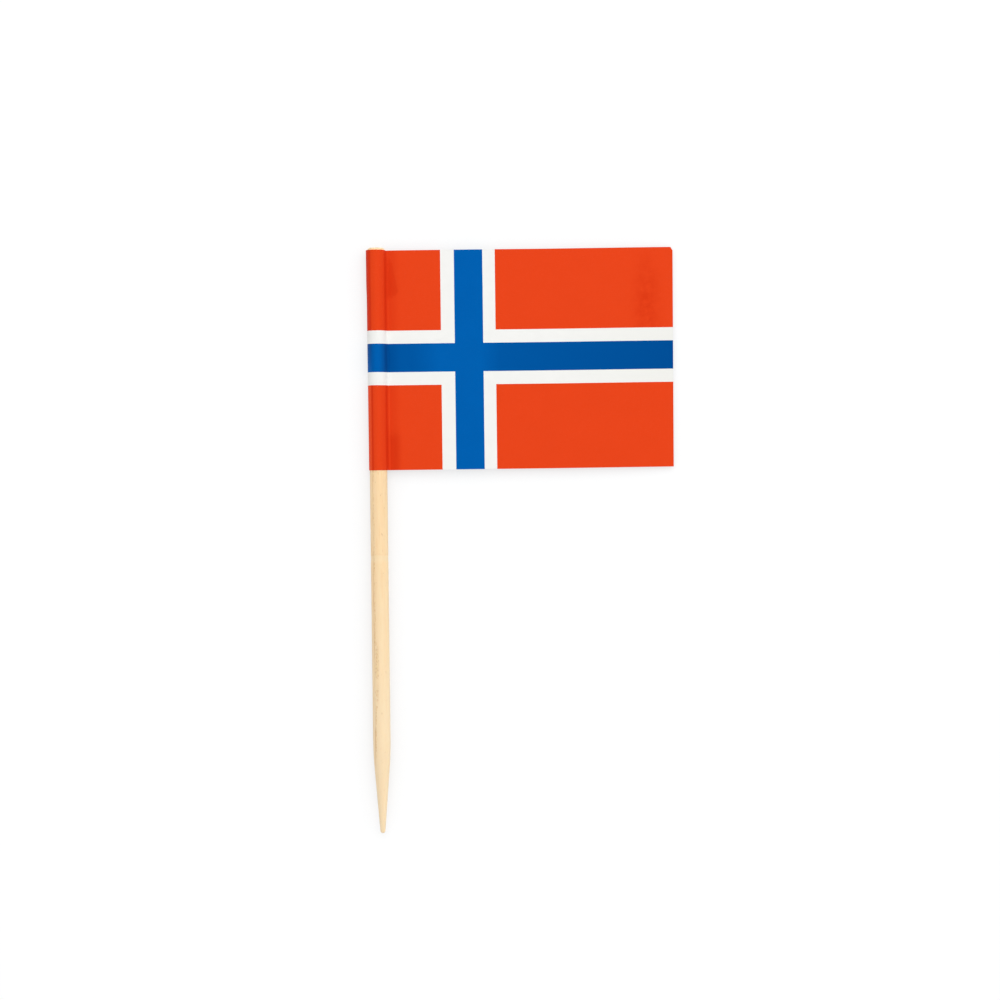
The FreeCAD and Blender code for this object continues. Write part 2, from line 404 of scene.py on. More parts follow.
def blank_sheet():
    """The trimmed sheet: X is the distance from the fold and Y the height, in millimetres."""
    sheet = bmesh.new()
    size = Matrix.Diagonal((columns * COLUMN_WIDTH, FLAG_HEIGHT, 1, 1))
    bmesh.ops.create_grid(
        sheet,
        x_segments=columns,
        y_segments=rows,
        size=0.5,
        matrix=Matrix.Translation((0, FLAG_HEIGHT / 2, 0)) @ size,
    )
    finer_columns(sheet, 0, FINE_ZONE, FINE_CUTS)
    finer_columns(sheet, *CREASE_ZONE, 1)
    finer_columns(sheet, *TIGHT_ZONE, 1)
    for side in (1, -1):
        cut_along(sheet, (side * far_edge, FLAG_HEIGHT), (side, -FAR_EDGE_SKEW), drop=True)
        nick = (side * (far_edge - NICK_ACROSS), FLAG_HEIGHT)
        cut_along(sheet, nick, (side * NICK_DOWN, NICK_ACROSS), drop=True)
    return sheet


flat = blank_sheet()
print(f"flat sheet of {len(flat.faces)} faces")

# %% [markdown]
# ## The print
# The flag shows a traditional cross: a blue cross with a white gap on each side of it, and red in
# the four fields that are left. The white is bare paper. The blue plate slipped by a few hundredths
# of a millimetre, so on one side of it the gap is a little wider than on the other.

# %% Mark the fields of the print
UPRIGHT_PLACE = 10.49
BAR_PLACE = FLAG_HEIGHT / 2 + 0.26
BLUE_WIDTH = 3.26
WHITE_WIDTH = 1.5
BLUE_SLIP = 0.07

upright = place_on_sheet(UPRIGHT_PLACE)
gap_half = BLUE_WIDTH / 2 + WHITE_WIDTH
BARE, RED, BLUE = range(3)


def ink_at(from_fold, height):
    """Which ink is printed at a place on the flat sheet."""
    from_bar = abs(height - BAR_PLACE)
    from_upright = abs(abs(from_fold) - upright)
    from_blue_upright = abs(abs(from_fold - BLUE_SLIP) - upright)
    if min(from_bar, from_blue_upright) < BLUE_WIDTH / 2:
        return BLUE
    if min(from_bar, from_upright) < gap_half:
        return BARE
    return RED


for from_bar in (-gap_half, -BLUE_WIDTH / 2, BLUE_WIDTH / 2, gap_half):
    cut_along(flat, (0, BAR_PLACE + from_bar), (0, 1))
for side in (-1, 1):
    for from_upright in (-gap_half, gap_half):
        cut_along(flat, (side * upright + from_upright, 0), (1, 0))
    for from_upright in (-BLUE_WIDTH / 2, BLUE_WIDTH / 2):
        cut_along(flat, (side * upright + BLUE_SLIP + from_upright, 0), (1, 0))
for face in flat.faces:
    middle = face.calc_center_median()
    face.material_index = ink_at(middle.x, middle.y)
for ink, name in ((BARE, "bare"), (RED, "red"), (BLUE, "blue")):
    area = sum(face.calc_area() for face in flat.faces if face.material_index == ink)
    print(f"{name}: {area:.0f} square mm")

# %% [markdown]
# ## Building materials from nodes
# Colours are picked from the photograph as sRGB hex values, and the renderer works with linear ones,
# so one function turns them. Another adds a node, sets it and links it. It takes whole nodes as
# inputs too, so a material reads as a chain.

# %% Helpers for materials
MIX_FACTOR, MIX_A, MIX_B = 0, 6, 7


def linear(hex_colour):
    """A colour written as sRGB hex, as the linear values that the renderer works with."""
    parts = [int(hex_colour[i : i + 2], 16) / 255 for i in (1, 3, 5)]
    return [p / 12.92 if p <= 0.04045 else ((p + 0.055) / 1.055) ** 2.4 for p in parts] + [1.0]


def add_node(tree, kind, inputs=(), **settings):
    """Adds a node. An input is a value, an output, or a node, for its first output in use."""
    node = tree.nodes.new(kind)
    for name, value in settings.items():
        setattr(node, name, value)
    for name, value in dict(inputs).items():
        if isinstance(value, bpy.types.Node):
            value = next(output for output in value.outputs if output.enabled)
        if isinstance(value, bpy.types.NodeSocket):
            tree.links.new(value, node.inputs[name])
        else:
            node.inputs[name].default_value = value
    return node


def layered(tree, tone, *layers):
    """A tone with colours laid over it one after another, each as far as its mask says."""
    for mask, colour in layers:
        values = {MIX_FACTOR: mask, MIX_A: tone, MIX_B: linear(colour)}
        tone = add_node(tree, "ShaderNodeMix", values, data_type="RGBA")
    return tone


def where_all(tree, mask, *others):
    """Where all of several masks hold, as their product."""
    for other in others:
        mask = add_node(tree, "ShaderNodeMath", {0: mask, 1: other}, operation="MULTIPLY")
    return mask


def new_material(name):
    """A material with an empty tree of nodes. Returns both."""
    material = bpy.data.materials.new(name)
    material.use_nodes = True
    material.node_tree.nodes.clear()
    return material, material.node_tree


def end_material(material, inputs):
    """Ends a material with a Principled shader that has these inputs."""
    tree = material.node_tree
    shader = add_node(tree, "ShaderNodeBsdfPrincipled", inputs)
    add_node(tree, "ShaderNodeOutputMaterial", {"Surface": shader})
    print(f"{material.name}: {len(tree.nodes)} nodes")


print("middle grey as a linear colour:", [round(part, 3) for part in linear("#808080")])

# %% [markdown]
# ## Bare paper
# The sheet is uncoated white printing paper. Its fibres lie in soft clouds about a millimetre wide,
# which show as a faint change of tone, and its surface is matt with a very fine tooth. Real tooth is
# finer than a pixel of the picture, so it is drawn at a seventh of a millimetre. The patterns read the
# sheet's own flat map, whose units are millimetres, so they bend with the paper. Towards the far
# edge the white is a shade greyer, which is painted shade.

# %% Material: uncoated white paper
FLAT_MAP = "flat_sheet"
CLOUDS_PER_MM = 0.8
TOOTH_PER_MM = 7.0
# where the painted shade towards the far edge begins and ends
FAR_EDGE_SHADE_FROM = 22.0
FAR_EDGE_SHADE_TO = 37.0


def distance_from_fold(tree, place):
    """How far from the fold a place on the flat sheet is, on either leaf."""
    across = add_node(tree, "ShaderNodeSeparateXYZ", {"Vector": place}).outputs["X"]
    return add_node(tree, "ShaderNodeMath", {0: across}, operation="ABSOLUTE")


def paper_tooth(tree, place, depth_mm, dull, duller):
    """The tooth of a paper surface, as a roughness and a fine bump for its shader."""
    values = {"Vector": place, "Scale": TOOTH_PER_MM, "Detail": 4.0, "Roughness": 0.6}
    tooth = add_node(tree, "ShaderNodeTexNoise", values)
    values = {"Value": tooth, "From Min": 0.3, "From Max": 0.7, "To Min": dull, "To Max": duller}
    roughness = add_node(tree, "ShaderNodeMapRange", values)
    bump = add_node(tree, "ShaderNodeBump", {"Height": tooth, "Distance": depth_mm * MM})
    return {"Roughness": roughness, "Normal": bump}


paper_material, tree = new_material("uncoated_white_paper")
place = add_node(tree, "ShaderNodeUVMap", uv_map=FLAT_MAP)
clouds = add_node(tree, "ShaderNodeTexNoise", {"Vector": place, "Scale": CLOUDS_PER_MM, "Detail": 3.0})
cloudy = add_node(tree, "ShaderNodeMapRange", {"Value": clouds, "From Min": 0.35, "From Max": 0.65})
from_fold = distance_from_fold(tree, place)
# painted shade: the white greys towards the far edge
values = {"Value": from_fold, "From Min": FAR_EDGE_SHADE_FROM, "From Max": FAR_EDGE_SHADE_TO}
far_edge_shade = add_node(tree, "ShaderNodeMapRange", values)
white = layered(tree, linear("#f3f3f0"), (cloudy, "#f5f5f2"), (far_edge_shade, "#efefea"))
tooth = paper_tooth(tree, place, 0.007, 0.75, 0.9)
end_material(paper_material, {"Base Color": white, "Specular IOR Level": 0.25, **tooth})

# %% [markdown]
# ## Printing ink on paper
# The red and the blue are flat printed inks on uncoated paper. The ink soaks in and lies a little
# unevenly, so its tone wanders by a few percent over a millimetre or two, and it is slightly
# smoother than the paper round it. Painted shade darkens the ink in the crease, and a painted
# highlight lightens it in places. The sheen of such an ink takes the ink's own colour, so the
# shader's specular tint is set to it.

# %% Helpers for inks
PAINTED_LIGHT_AND_SHADE = "painted_light_and_shade"
INK_MOTTLE_PER_MM = 0.35
INK_GRAIN_PER_MM = 3.0
SPECKS_PER_MM = 9.0


def ink_tone(tree, place, dark, light, show):
    """An ink's tone over the sheet: broad mottle, a finer grain, and specks where fibres show."""
    broad = add_node(tree, "ShaderNodeTexNoise", {"Vector": place, "Scale": INK_MOTTLE_PER_MM})
    fine = {"Vector": place, "Scale": INK_GRAIN_PER_MM, "Detail": 3.0, "Roughness": 0.6}
    fine = add_node(tree, "ShaderNodeTexNoise", fine)
    both = add_node(tree, "ShaderNodeMath", {0: broad, 1: fine}, operation="ADD")
    uneven = add_node(tree, "ShaderNodeMapRange", {"Value": both, "From Min": 0.75, "From Max": 1.25})
    fibres = add_node(tree, "ShaderNodeTexNoise", {"Vector": place, "Scale": SPECKS_PER_MM})
    values = {"Value": fibres, "From Min": 0.6, "From Max": 0.75, "To Max": show}
    specks = add_node(tree, "ShaderNodeMapRange", values)
    return layered(tree, linear(dark), (uneven, light), (specks, "#f7f6f3"))


def with_painted_light_and_shade(tree, ink, deeper, lighter):
    """An ink's tone, with painted shade above 0 and painted highlight below 0."""
    amount = add_node(tree, "ShaderNodeAttribute", attribute_name=PAINTED_LIGHT_AND_SHADE).outputs["Fac"]
    # the first mask is where painted shade goes, the second where a painted highlight goes
    shaded_part = add_node(tree, "ShaderNodeMapRange", {"Value": amount, "From Max": 1.0})
    rubbed = add_node(tree, "ShaderNodeMapRange", {"Value": amount, "From Max": -1.0})
    return layered(tree, ink, (shaded_part, deeper), (rubbed, lighter))


def end_ink(material, place, ink, tint):
    """Ends an ink's material with a sheen of its own colour, on paper that it makes smoother."""
    sheen = {"Specular IOR Level": 0.3, "Specular Tint": linear(tint)}
    tooth = paper_tooth(material.node_tree, place, 0.006, 0.5, 0.68)
    end_material(material, {"Base Color": ink, **sheen, **tooth})


def spot(tree, place, centre, width, height):
    """1 at a place on the flat sheet, falling to 0 at the edge of an oval round it."""
    mapping = {
        "Vector": place,
        "Location": (-centre[0] / width, -centre[1] / height, 0),
        "Scale": (1 / width, 1 / height, 1),
    }
    moved = add_node(tree, "ShaderNodeMapping", mapping)
    distance = add_node(tree, "ShaderNodeVectorMath", {0: moved}, operation="LENGTH")
    values = {"Value": distance, "To Min": 1.0, "To Max": 0.0}
    return add_node(tree, "ShaderNodeMapRange", values, interpolation_type="SMOOTHSTEP")


print(f"specks in the ink about {1 / SPECKS_PER_MM:.2f} mm apart")

# %% Material: red printing ink
SMUDGE_PLACE = (place_on_sheet(31.0), 18.6)
SMUDGE_SIZE = (2.4, 8.5)
SMUDGE_RAGS_PER_MM = 1.1

red_material, tree = new_material("red_printing_ink")
place = add_node(tree, "ShaderNodeUVMap", uv_map=FLAT_MAP)
red = ink_tone(tree, place, "#e54116", "#e74217", 0.03)
rags = {"Vector": place, "Scale": SMUDGE_RAGS_PER_MM, "Detail": 4.0, "Roughness": 0.65}
rags = add_node(tree, "ShaderNodeTexNoise", rags)
values = {"Value": rags, "From Min": 0.35, "From Max": 0.6, "To Min": 0.3}
ragged = add_node(tree, "ShaderNodeMapRange", values)
oval = spot(tree, place, SMUDGE_PLACE, *SMUDGE_SIZE)
red = layered(tree, red, (where_all(tree, oval, ragged), "#db360e"))
# painted shade and painted highlight colours of the red ink
red = with_painted_light_and_shade(tree, red, "#d5300b", "#fb5a2c")
end_ink(red_material, place, red, "#ff8a60")

# %% [markdown]
# The blue bar is printed deeper in tone than the upright towards the far edge and between the upright
# and the sleeve. Where that deeper blue runs on into the crease, and on the outer side of the sleeve,
# it is painted shade. Each of these stretches is a range of distances from the fold, and their sum
# says how much of the deeper blue shows.

# %% Material: blue printing ink
blue_material, tree = new_material("blue_printing_ink")
place = add_node(tree, "ShaderNodeUVMap", uv_map=FLAT_MAP)
blue = ink_tone(tree, place, "#005ba9", "#005dac", 0.012)
from_fold = distance_from_fold(tree, place)


def deeper_from(low, high, share):
    """How much of the deeper blue shows: none up to low, its full share from high on."""
    values = {"Value": from_fold, "From Min": low, "From Max": high, "To Max": share}
    return add_node(tree, "ShaderNodeMapRange", values)


beyond = deeper_from(upright + 1.4, upright + 3.6, 0.5)
farther = deeper_from(upright + 3.6, far_edge, 0.45)
# between the upright and the sleeve: printed deeper blue, running on into the crease as painted shade
before = deeper_from(upright - 3.4, upright - 6.4, 0.5)
off_sleeve = deeper_from(LEAF_START - 1.4, LEAF_START - 1.0, 1.0)
between = where_all(tree, before, off_sleeve)
# painted shade: deeper blue on the outer side of the sleeve
sleeve_side_shade = deeper_from(1.55, 0.9, 0.6)
# the sum is printed deeper blue and painted shade together
deeper_print_and_shade = beyond
for part in (between, farther, sleeve_side_shade):
    deeper_print_and_shade = add_node(tree, "ShaderNodeMath", {0: deeper_print_and_shade, 1: part}, operation="ADD")
blue = layered(tree, blue, (deeper_print_and_shade, "#00488d"))
# painted shade and painted highlight colours of the blue ink
blue = with_painted_light_and_shade(tree, blue, "#004487", "#1069bd")
end_ink(blue_material, place, blue, "#0d93ff")

# %% [markdown]
# ## Fold the layers
# Paper and inks are closed layers of the same flat sheet, each between two depths through it. The
# ink lies in the outer skin of the paper, as the soaked-in ink of a real print does, so the bare
# fields are raised by the ink's thickness and the whole face ends up level. Each layer is extruded
# flat, gets its map from its flat place, and is folded last.

# %% Make closed layers and fold them
INK_THICKNESS = 0.02
SKIN = PAPER_THICKNESS / 2
SHARP_ANGLE = math.radians(50)
SAME_POINT = 1e-4


def raise_faces(mesh, faces, top):
    """Extrudes faces of the flat sheet and puts the new ones at a depth. Returns the new faces."""
    made = bmesh.ops.extrude_face_region(mesh, geom=faces)["geom"]
    for part in made:
        if isinstance(part, bmesh.types.BMVert):
            part.co.z = top
    return [part for part in made if isinstance(part, bmesh.types.BMFace)]


def layer(sheet, inks, bottom, top):
    """A closed layer over the fields with these inks, between two depths through the sheet."""
    mesh = sheet.copy()
    unwanted = [face for face in mesh.faces if face.material_index not in inks]
    bmesh.ops.delete(mesh, geom=unwanted, context="FACES")
    for vert in mesh.verts:
        vert.co.z = bottom
    return mesh, raise_faces(mesh, mesh.faces[:], top)


def shade_smooth(mesh):
    """Shades a mesh smooth, apart from its sharp edges."""
    for face in mesh.faces:
        face.smooth = True
    for edge in mesh.edges:
        edge.smooth = edge.calc_face_angle(0) < SHARP_ANGLE


def folded_piece(name, mesh, material, slot, *nodes):
    """Maps a flat layer, folds it, and makes it a piece that stands for CAD nodes."""
    bmesh.ops.recalc_face_normals(mesh, faces=mesh.faces[:])
    shade_smooth(mesh)
    flat_map = mesh.loops.layers.uv.new(FLAT_MAP)
    for face in mesh.faces:
        face.material_index = 0
        for loop in face.loops:
            loop[flat_map].uv = loop.vert.co.xy
    # each vertex carries its painted light and shade
    painted_light_and_shade_layer = mesh.verts.layers.float.new(PAINTED_LIGHT_AND_SHADE)
    for vert in mesh.verts:
        vert[painted_light_and_shade_layer] = painted_light_and_shade(vert.co.x, vert.co.y)
        vert.co = placed(*vert.co)
    bmesh.ops.remove_doubles(mesh, verts=mesh.verts[:], dist=SAME_POINT * MM)
    return finished_piece(name, mesh, material, slot, *nodes)


def finished_piece(name, mesh, material, slot, *nodes):
    """Makes a mesh an object that rides on the frame in place of CAD nodes."""
    open_edges = sum(not edge.is_manifold for edge in mesh.edges)
    volume = mesh.calc_volume(signed=True) / MM**3
    data = bpy.data.meshes.new(name)
    mesh.to_mesh(data)
    mesh.free()
    data.materials.append(material)
    piece = bpy.data.objects.new(name, data)
    bpy.context.scene.collection.objects.link(piece)
    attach(piece, "root")
    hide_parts(*nodes)
    print(f"{name}: {len(data.polygons)} faces, {open_edges} open edges, {volume:.2f} cubic mm")
    return piece


# %% The paper and its two inks
mesh, top_faces = layer(flat, (BARE, RED, BLUE), -SKIN, SKIN - INK_THICKNESS)
bare_faces = [face for face in top_faces if face.material_index == BARE]
raise_faces(mesh, bare_faces, SKIN)
bmesh.ops.delete(mesh, geom=bare_faces, context="FACES")
paper = folded_piece("paper_sheet", mesh, paper_material, "white_paper", "paper_flag")

mesh, _ = layer(flat, (RED,), SKIN - INK_THICKNESS, SKIN)
red_ink = folded_piece("red_ink", mesh, red_material, "red_ink", "red_print")

mesh, _ = layer(flat, (BLUE,), SKIN - INK_THICKNESS, SKIN)
blue_ink = folded_piece("blue_ink", mesh, blue_material, "blue_ink", "blue_print")
flat.free()

# %% [markdown]
# ## Glue
# White glue fills the folded sheet: a thin film round the pick and between the leaves, and a small
# wedge where the leaves part to go round the pick. It shows only at the flag's edges. It is one more
# layer of a flat sheet, on its inner side. Its depth is where a line straight in from the paper
# meets the pick or the plane between the leaves. On that plane the glue of one leaf runs on into the
# glue of the other, so the faces there are taken out, and folding brings their borders together. The
# sheet for it has no print, because the slipped blue plate would make the two leaves differ.

# %% Material: dried white glue
glue_material, tree = new_material("dried_white_glue")
place = add_node(tree, "ShaderNodeUVMap", uv_map=FLAT_MAP)
cloudy = add_node(tree, "ShaderNodeTexNoise", {"Vector": place, "Scale": 2.0})
cream = layered(tree, linear("#e9e4d6"), (cloudy, "#f2efe4"))
values = {"Value": cloudy, "From Min": 0.3, "From Max": 0.7, "To Min": 0.3, "To Max": 0.5}
roughness = add_node(tree, "ShaderNodeMapRange", values)
bump = add_node(tree, "ShaderNodeBump", {"Height": cloudy, "Distance": 0.01 * MM})
end_material(glue_material, {"Base Color": cream, "Roughness": roughness, "Normal": bump, "IOR": 1.46})

# %% The glue inside the folded sheet
GLUE_INTO_PICK = 0.03


def glue_depth(from_fold):
    """How deep the glue's inner side is, as an offset from the middle of the paper."""
    along = abs(from_fold)
    if along <= WRAP_LENGTH:
        return PICK_RADIUS - GLUE_INTO_PICK - WRAP_RADIUS
    if along >= LEAF_START:
        return -LEAF_RISE
    angle = math.pi + CREASE_ANGLE + (along - WRAP_LENGTH) / CREASE_RADIUS
    towards = (math.cos(angle), math.sin(angle))
    to_plane = -CREASE_RISE / towards[1]
    ahead = CREASE_REACH * towards[0] + CREASE_RISE * towards[1]
    from_axis = CREASE_REACH**2 + CREASE_RISE**2
    inside = ahead**2 - from_axis + (PICK_RADIUS - GLUE_INTO_PICK) ** 2
    to_pick = -ahead - math.sqrt(inside) if inside > 0 else to_plane
    return CREASE_RADIUS - min(to_plane, to_pick)


def between_leaves(face):
    """Whether a face of the flat glue comes to lie on the plane between the leaves."""
    return all(abs(fold(vert.co.x, vert.co.z)[1]) < SAME_POINT for vert in face.verts)


blank = blank_sheet()
mesh, _ = layer(blank, (BARE,), 0, -SKIN)
blank.free()
for vert in mesh.verts:
    if vert.co.z == 0:
        vert.co.z = glue_depth(vert.co.x)
shared_faces = [face for face in mesh.faces if between_leaves(face)]
bmesh.ops.delete(mesh, geom=shared_faces, context="FACES")
glue = folded_piece("glue", mesh, glue_material, "glue", "glue_film")

# %% [markdown]
# ## The pick
# A round pick is turned from a birch blank by grooved cutters and then sharpened. Turning suggests
# the tool: draw the outline of one half and spin it. The outline has a rounded tip, a long cone, a
# shoulder that eases into the shank, a shallow pinched ring and a softly worn head.

# %% The pick's outline
POINT_HALF_ANGLE = math.radians(4.6)
TIP_RADIUS = 0.29
SHOULDER_RADIUS = 47.0
HEAD_EDGE_RADIUS = 0.25
PINCH_BELOW_FLAG = 9.7
PINCH_LENGTH = 0.85
PINCH_DEPTH = 0.025
PINCH_MARGIN = 0.1
RING_STEP = 0.5
BEND_STEPS = 8

cone_radius = TIP_RADIUS * math.cos(POINT_HALF_ANGLE)
cone_start = POINT_END + TIP_RADIUS * (1 - math.sin(POINT_HALF_ANGLE))
cone_meets_shank = cone_start + (PICK_RADIUS - cone_radius) / math.tan(POINT_HALF_ANGLE)
shoulder_reach = SHOULDER_RADIUS * math.tan(POINT_HALF_ANGLE / 2)
shoulder_start = cone_meets_shank - shoulder_reach * math.cos(POINT_HALF_ANGLE)
shoulder_end = cone_meets_shank + shoulder_reach
pinch_middle = FLAG_LOWER_EDGE - PINCH_BELOW_FLAG - PINCH_LENGTH / 2


def pick_radius_at(y):
    """The pick's radius at a place along it."""
    if y < cone_start:
        from_centre = y - POINT_END - TIP_RADIUS
        return math.sqrt(max(TIP_RADIUS**2 - from_centre**2, 0))
    if y < shoulder_start:
        return cone_radius + (y - cone_start) * math.tan(POINT_HALF_ANGLE)
    if y < shoulder_end:
        to_end = shoulder_end - y
        return PICK_RADIUS - SHOULDER_RADIUS + math.sqrt(SHOULDER_RADIUS**2 - to_end**2)
    if y > HEAD_END - HEAD_EDGE_RADIUS:
        over = y - HEAD_END + HEAD_EDGE_RADIUS
        return PICK_RADIUS - HEAD_EDGE_RADIUS + math.sqrt(max(HEAD_EDGE_RADIUS**2 - over**2, 0))
    in_pinch = max(1 - ((y - pinch_middle) / (PINCH_LENGTH / 2)) ** 2, 0)
    return PICK_RADIUS - PINCH_DEPTH * in_pinch


def pick_stations():
    """Places along the pick where its outline gets a point, closer together at bends."""
    quarter_turn = [math.pi / 2 * i / BEND_STEPS for i in range(BEND_STEPS + 1)]
    tip = [POINT_END + (cone_start - POINT_END) * (1 - math.cos(turn)) for turn in quarter_turn[:-1]]
    head = [HEAD_END - HEAD_EDGE_RADIUS * (1 - math.sin(turn)) for turn in quarter_turn]
    straight = HEAD_END - HEAD_EDGE_RADIUS - cone_start
    count = round(straight / RING_STEP)
    shank = [cone_start + straight * i / count for i in range(count)]
    shank = [y for y in shank if abs(y - pinch_middle) > PINCH_LENGTH / 2 + PINCH_MARGIN]
    over_pinch = range(-BEND_STEPS // 2, BEND_STEPS // 2 + 1)
    pinch = [pinch_middle + PINCH_LENGTH * i / BEND_STEPS for i in over_pinch]
    return sorted(tip + shank + pinch + head)


stations = pick_stations()
print(f"{len(stations)} points along the pick, shoulder ends at y {shoulder_end:.2f}")

# %% [markdown]
# ## Spin it, then let the cutter leave its mark
# Along the left side the cutters took off a little too much, which leaves a narrow flat with torn
# fibres along its border. Each point that stands out past the flat is pushed back to it, and the
# flat's depth changes slowly along the pick.

# %% Spin the pick and press in the flat
FLAT_DIRECTION = math.radians(137)
FLAT_HALF_ANGLE = math.radians(11)
FLAT_WANDER = 0.012
FLAT_WANDER_LENGTH = 4.0
HEAD_CROWN = 0.06
SPIN_STEPS = 120
AXIS_POINTS_APART = 0.001

mesh = bmesh.new()
outline = [mesh.verts.new((0, POINT_END, 0))]
outline += [mesh.verts.new((pick_radius_at(y), y, 0)) for y in stations if y > POINT_END]
outline.append(mesh.verts.new((0, HEAD_END, 0)))
edges = [mesh.edges.new(pair) for pair in zip(outline, outline[1:])]
bmesh.ops.spin(
    mesh,
    geom=outline + edges,
    cent=(0, 0, 0),
    axis=(0, 1, 0),
    angle=math.tau,
    steps=SPIN_STEPS,
    use_merge=True,
)
bmesh.ops.remove_doubles(mesh, verts=mesh.verts[:], dist=AXIS_POINTS_APART)
bmesh.ops.recalc_face_normals(mesh, faces=mesh.faces[:])

flat_normal = Vector((math.cos(FLAT_DIRECTION), 0, math.sin(FLAT_DIRECTION)))
for vert in mesh.verts:
    if vert.co.y > HEAD_END - HEAD_EDGE_RADIUS:
        vert.co.y += HEAD_CROWN * (1 - vert.co.xz.length_squared / PICK_RADIUS**2)
    y = vert.co.y
    wander = FLAT_WANDER * noise.noise(Vector((0.3, y / FLAT_WANDER_LENGTH, 0.7)))
    limit = pick_radius_at(y) * math.cos(FLAT_HALF_ANGLE) + wander
    past = vert.co.dot(flat_normal) - limit
    if past > 0:
        vert.co -= flat_normal * past
shade_smooth(mesh)
for vert in mesh.verts:
    vert.co = (vert.co + Vector((AXIS_X, 0, AXIS_Z))) * MM
print(f"pick of {len(mesh.faces)} faces")

# %% [markdown]
# ## Birch
# Toothpicks are birch: pale, even wood with a fine straight grain and tiny pores. Turned and not
# varnished, it is matt. The grain runs along the pick as streaks a few hundredths of a millimetre to
# a tenth wide and several millimetres long, which a noise stretched along Y gives. It reads Object
# coordinates, so the streaks run through the wood to the end grain as they do in a real piece. Each
# mark is first made as a mask, a number from 0 to 1 over the surface, and at the end the masks lay
# their colours one over another.

# %% Birch: grain and pores
wood_material, tree = new_material("turned_birch")
here = add_node(tree, "ShaderNodeTexCoord").outputs["Object"]
across_pick, along_pick, above_table = add_node(tree, "ShaderNodeSeparateXYZ", {"Vector": here}).outputs


def wood_noise(across_mm, along_mm, detail=2.0, roughness=0.5):
    """A noise from 0 to 1 through the wood, in streaks this wide and this long."""
    scale = (1 / (across_mm * MM), 1 / (along_mm * MM), 1 / (across_mm * MM))
    streaks = add_node(tree, "ShaderNodeMapping", {"Vector": here, "Scale": scale})
    values = {"Vector": streaks, "Scale": 1.0, "Detail": detail, "Roughness": roughness}
    return add_node(tree, "ShaderNodeTexNoise", values)


def wood_patches(across_mm, along_mm, low, high, least=0.0, most=1.0, **fineness):
    """A mask of patches in the wood: least where a noise is low, and most where it is high."""
    values = {"From Min": low, "From Max": high, "To Min": least, "To Max": most}
    values["Value"] = wood_noise(across_mm, along_mm, **fineness)
    return add_node(tree, "ShaderNodeMapRange", values)


fibres = wood_noise(0.12, 2.2, 3.0, 0.6)
values = {"Value": fibres, "From Min": 0.52, "From Max": 0.72, "To Max": 0.6}
dark_fibres = add_node(tree, "ShaderNodeMapRange", values)
streaked = wood_patches(0.45, 9.0, 0.3, 0.7, detail=3.0, roughness=0.6)
in_pore = wood_patches(0.10, 0.5, 0.72, 0.8, most=0.6, detail=1.0)
values = {"Value": along_pick, "From Min": -2.0 * MM, "From Max": -20.0 * MM, "To Max": 0.5}
paler_point = add_node(tree, "ShaderNodeMapRange", values)
print("grain of", len(tree.nodes), "nodes")

# %% [markdown]
# ### Torn fibres
# Torn fibres lie in a ragged band along the upper border of the flat: dark pits and pale fuzz. Over
# one stretch the cutter tore more, so the band is wider and paler there. The band is a distance from
# the border, shifted by a noise so that it is ragged. Spots of torn fibre then show only inside the
# band, in clusters, on the upper side, and less on the cone.

# %% Birch: the torn band
TORN_AT = (AXIS_X + PICK_RADIUS * math.cos(FLAT_DIRECTION - FLAT_HALF_ANGLE)) * MM
TORN_STRETCH = (-19.6 * MM, -12.2 * MM)
TORN_FADE = 1 * MM
RAG_SIZE = 0.2 * MM

low, high = TORN_STRETCH
values = {"Value": along_pick, "From Min": high + TORN_FADE, "From Max": high}
below_top = add_node(tree, "ShaderNodeMapRange", values)
values = {"Value": along_pick, "From Min": low, "From Max": low + TORN_FADE}
above_end = add_node(tree, "ShaderNodeMapRange", values)
torn_more = where_all(tree, below_top, above_end)
middle = {"Value": torn_more, "To Min": TORN_AT + 0.1 * MM, "To Max": TORN_AT + 0.25 * MM}
middle = add_node(tree, "ShaderNodeMapRange", middle)
half_width = {"Value": torn_more, "To Min": 0.10 * MM, "To Max": 0.40 * MM}
half_width = add_node(tree, "ShaderNodeMapRange", half_width)
shifted = {0: wood_noise(0.4, 1.6, 2.0, 0.6), 1: RAG_SIZE, 2: across_pick}
shifted = add_node(tree, "ShaderNodeMath", shifted, operation="MULTIPLY_ADD")
from_middle = add_node(tree, "ShaderNodeMath", {0: shifted, 1: middle}, operation="SUBTRACT")
away = add_node(tree, "ShaderNodeMath", {0: from_middle}, operation="ABSOLUTE")
across_band = add_node(tree, "ShaderNodeMath", {0: away, 1: half_width}, operation="DIVIDE")
values = {"Value": across_band, "From Min": 0.4, "From Max": 1.0, "To Min": 1.0, "To Max": 0.0}
in_band = add_node(tree, "ShaderNodeMapRange", values)
print(f"torn band from x {TORN_AT / MM:.2f} mm, wider from y {low / MM:.1f} to {high / MM:.1f} mm")

# %% Birch: spots of torn fibre
clusters = wood_patches(2.0, 1.5, 0.4, 0.55, least=0.65)
values = {"Value": above_table, "From Min": AXIS_Z * MM, "From Max": (AXIS_Z + 0.1) * MM}
upper_side = add_node(tree, "ShaderNodeMapRange", values)
off_cone = {"From Min": (shoulder_end - 3) * MM, "From Max": (shoulder_end - 1) * MM, "To Min": 0.6}
off_cone = add_node(tree, "ShaderNodeMapRange", {"Value": along_pick, **off_cone})
torn_here = where_all(tree, in_band, clusters, off_cone, upper_side)


def torn_spots(across_mm, along_mm, low, high, strength):
    """Spots of torn fibre of one size, only where fibres are torn."""
    spots = where_all(tree, wood_noise(across_mm, along_mm, 3.0, 0.7), torn_here)
    values = {"Value": spots, "From Min": low, "From Max": high, "To Max": strength}
    return add_node(tree, "ShaderNodeMapRange", values)


